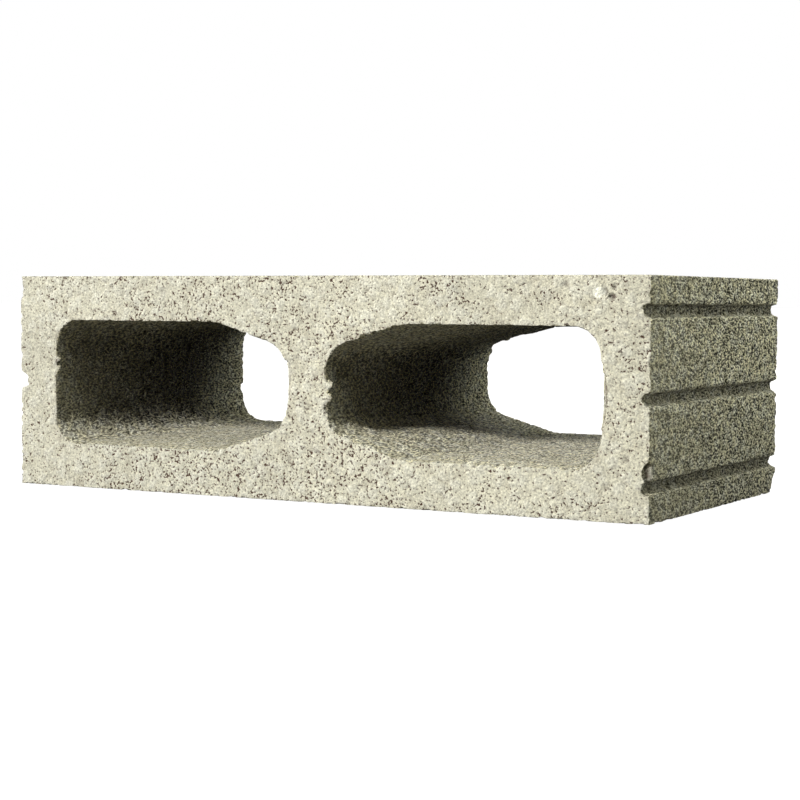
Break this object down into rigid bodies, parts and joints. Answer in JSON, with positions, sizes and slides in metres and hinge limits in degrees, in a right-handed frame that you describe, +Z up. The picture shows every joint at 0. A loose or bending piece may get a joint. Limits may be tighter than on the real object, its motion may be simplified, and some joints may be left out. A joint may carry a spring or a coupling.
{
  "type": "concrete block",
  "caption": "Hollow grey concrete masonry block lying on a face shell, with open tapered cores right through it and grooved ends, laid in mortar to build walls.",
  "frame": {"origin": "on the floor under the middle of the block's box, as it lies on one face shell", "axes": "+X along the length, towards the end with the scored grooves; +Y along the cores, from their wide mouths to their narrow ones; +Z up, through the thickness of the wall it is laid in"},
  "size_m": [0.39, 0.19, 0.12],
  "materials": {
    "concrete": "rough open-textured cast concrete, pale warm grey, as it left the mould"
  },
  "bodies": {
    "root": {"concrete_block": "concrete"}
  },
  "joints": []
}
